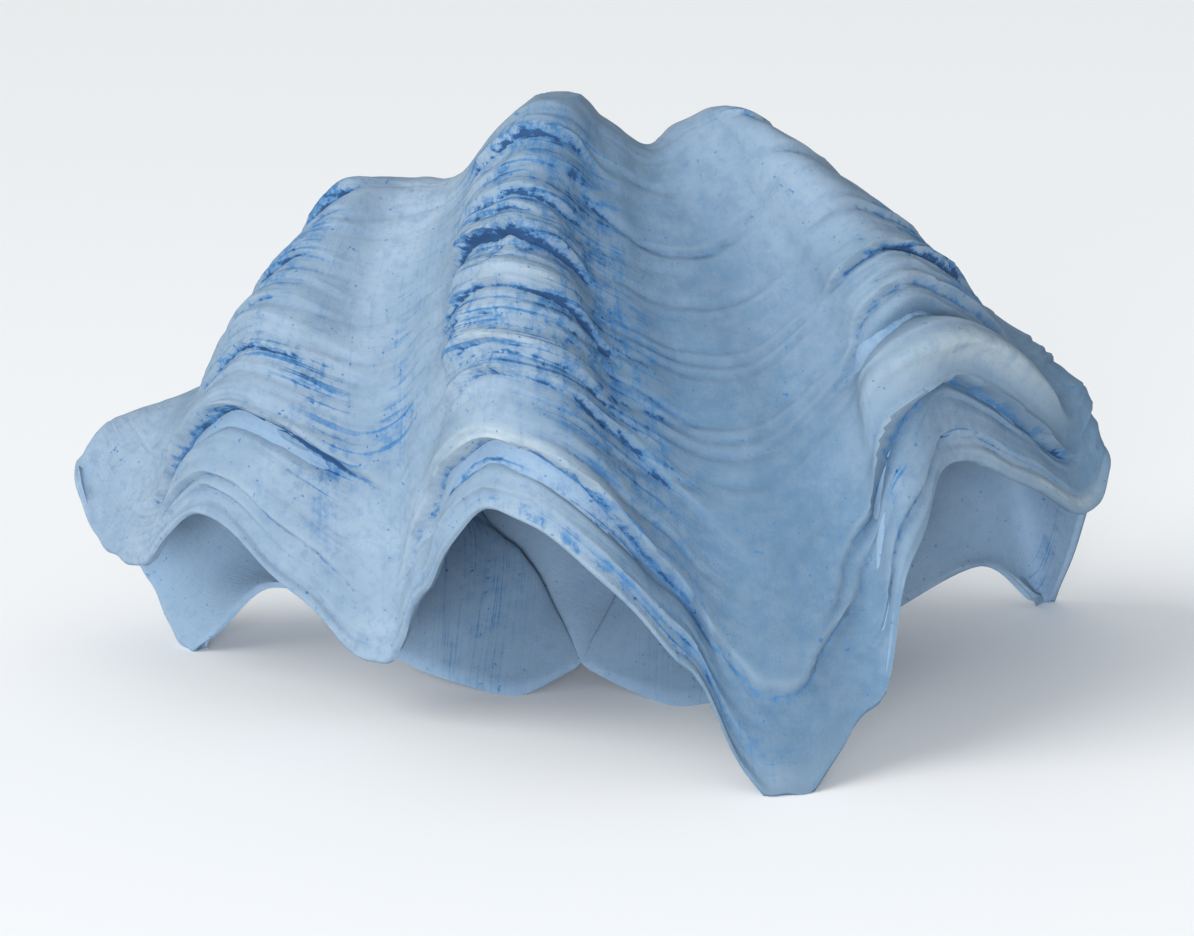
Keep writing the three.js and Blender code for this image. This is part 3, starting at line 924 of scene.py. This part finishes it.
def add_node(tree, kind, settings, links):
    """One node of a kind, with its settings by name or socket, colours as hex, and links into
    its sockets. It gives back the output that other nodes read."""
    node = tree.nodes.new(kind)
    for key, value in {**SHARED.get(kind, {}), **settings}.items():
        if isinstance(key, str) and hasattr(node, key):
            setattr(node, key, value)
        elif isinstance(value, str):
            node.inputs[key].default_value = linear(value)
        else:
            node.inputs[key].default_value = value
    for key, source in links.items():
        tree.links.new(source, node.inputs[key])
    return node.outputs[OUTPUTS.get(kind, 0)] if node.outputs else None


def chalk_washed_shell():
    """Clam shell is aragonite, dull and chalky once it has weathered. A blue lime wash was
    brushed on and wiped off again, so it stays dark in low places and pale on raised ones."""
    material = bpy.data.materials.new("chalk_washed_clam_shell")
    material.use_nodes = True
    tree = material.node_tree
    tree.nodes.clear()
    made = {name: add_node(tree, FIELD, {"attribute_name": name}, {}) for name in FIELDS}
    for name, kind, settings, links in NODES:
        sources = {key: made[source] for key, source in links.items()}
        made[name] = add_node(tree, kind, settings, sources)
    return material


# ---------------------------------------------------------------- the room

FLOOR_REACH = 14.0
CAMERA_PLACE, CAMERA_TILT = (0.0030, -0.9958, 0.3468), 76
CAMERA_LENS, CAMERA_SENSOR, CAMERA_NEAR, CAMERA_FAR = 71.43, 36.0, 0.01, 100
WINDOW_FROM, WINDOW_POWER, WINDOW_ANGLE = (-1.0, -0.30, 0.75), 1.8, 45
BOX_PLACE, BOX_POWER, BOX_SIZE = (-0.60, -4.0, 0.38), 206, 1.9
ROOM_GLOW = 0.60


def pale_floor():
    """A wide matt floor, flat at the height that the shell rests on."""
    far = FLOOR_REACH
    mesh = bpy.data.meshes.new("studio_floor")
    mesh.from_pydata([(-far, -far, 0), (far, -far, 0), (far, far, 0), (-far, far, 0)],
                     [], [(0, 1, 2, 3)])
    floor = bpy.data.objects.new("studio_floor", mesh)
    bpy.context.scene.collection.objects.link(floor)
    # White paper is matt: its fibres scatter the light, so it has almost no gloss.
    material = bpy.data.materials.new("matt_white_paper")
    material.use_nodes = True
    shader = material.node_tree.nodes["Principled BSDF"]
    shader.inputs["Base Color"].default_value = linear("#f6f7f8")
    shader.inputs["Roughness"].default_value = 0.95
    shader.inputs["Specular IOR Level"].default_value = 0.1
    mesh.materials.append(material)


def aimed(x, y, z):
    """The turn that points a light at the middle from a direction: lean from upright, then yaw."""
    return (0, math.acos(z / math.hypot(x, y, z)), math.atan2(y, x))


def hang(data, turn, place=(0, 0, 0)):
    """A lamp or camera at a place, turned by three angles."""
    thing = bpy.data.objects.new(data.name, data)
    thing.location, thing.rotation_euler = place, turn
    bpy.context.scene.collection.objects.link(thing)
    return thing


def room_light():
    """A white room that glows evenly, a broad window high on the left, and a big soft box far in
    front, which fills the arches."""
    world = bpy.data.worlds.new("white_room")
    world.use_nodes = True
    background = world.node_tree.nodes["Background"]
    background.inputs["Color"].default_value = linear("#f4f8fc")
    background.inputs["Strength"].default_value = ROOM_GLOW
    bpy.context.scene.world = world
    window = bpy.data.lights.new("key_window", "SUN")
    window.energy, window.angle = WINDOW_POWER, math.radians(WINDOW_ANGLE)
    window.color = linear("#fffdf8")[:3]
    hang(window, aimed(*WINDOW_FROM))
    box = bpy.data.lights.new("front_box", "AREA")
    box.size, box.energy, box.color = BOX_SIZE, BOX_POWER, linear("#f4f8ff")[:3]
    hang(box, (math.radians(90), 0, 0), BOX_PLACE)


def front_camera():
    """Level sideways, looking down by 14 degrees from the front."""
    data = bpy.data.cameras.new("front_camera")
    data.lens, data.sensor_width = CAMERA_LENS, CAMERA_SENSOR
    data.clip_start, data.clip_end = CAMERA_NEAR, CAMERA_FAR
    bpy.context.scene.camera = hang(data, (math.radians(CAMERA_TILT), 0, 0), CAMERA_PLACE)


front_camera()
pale_floor()
room_light()
bpy.context.scene.view_settings.view_transform = "Standard"

shell = shell_piece()
shell.data.materials.append(chalk_washed_shell())
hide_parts("shell")
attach(shell, "root")
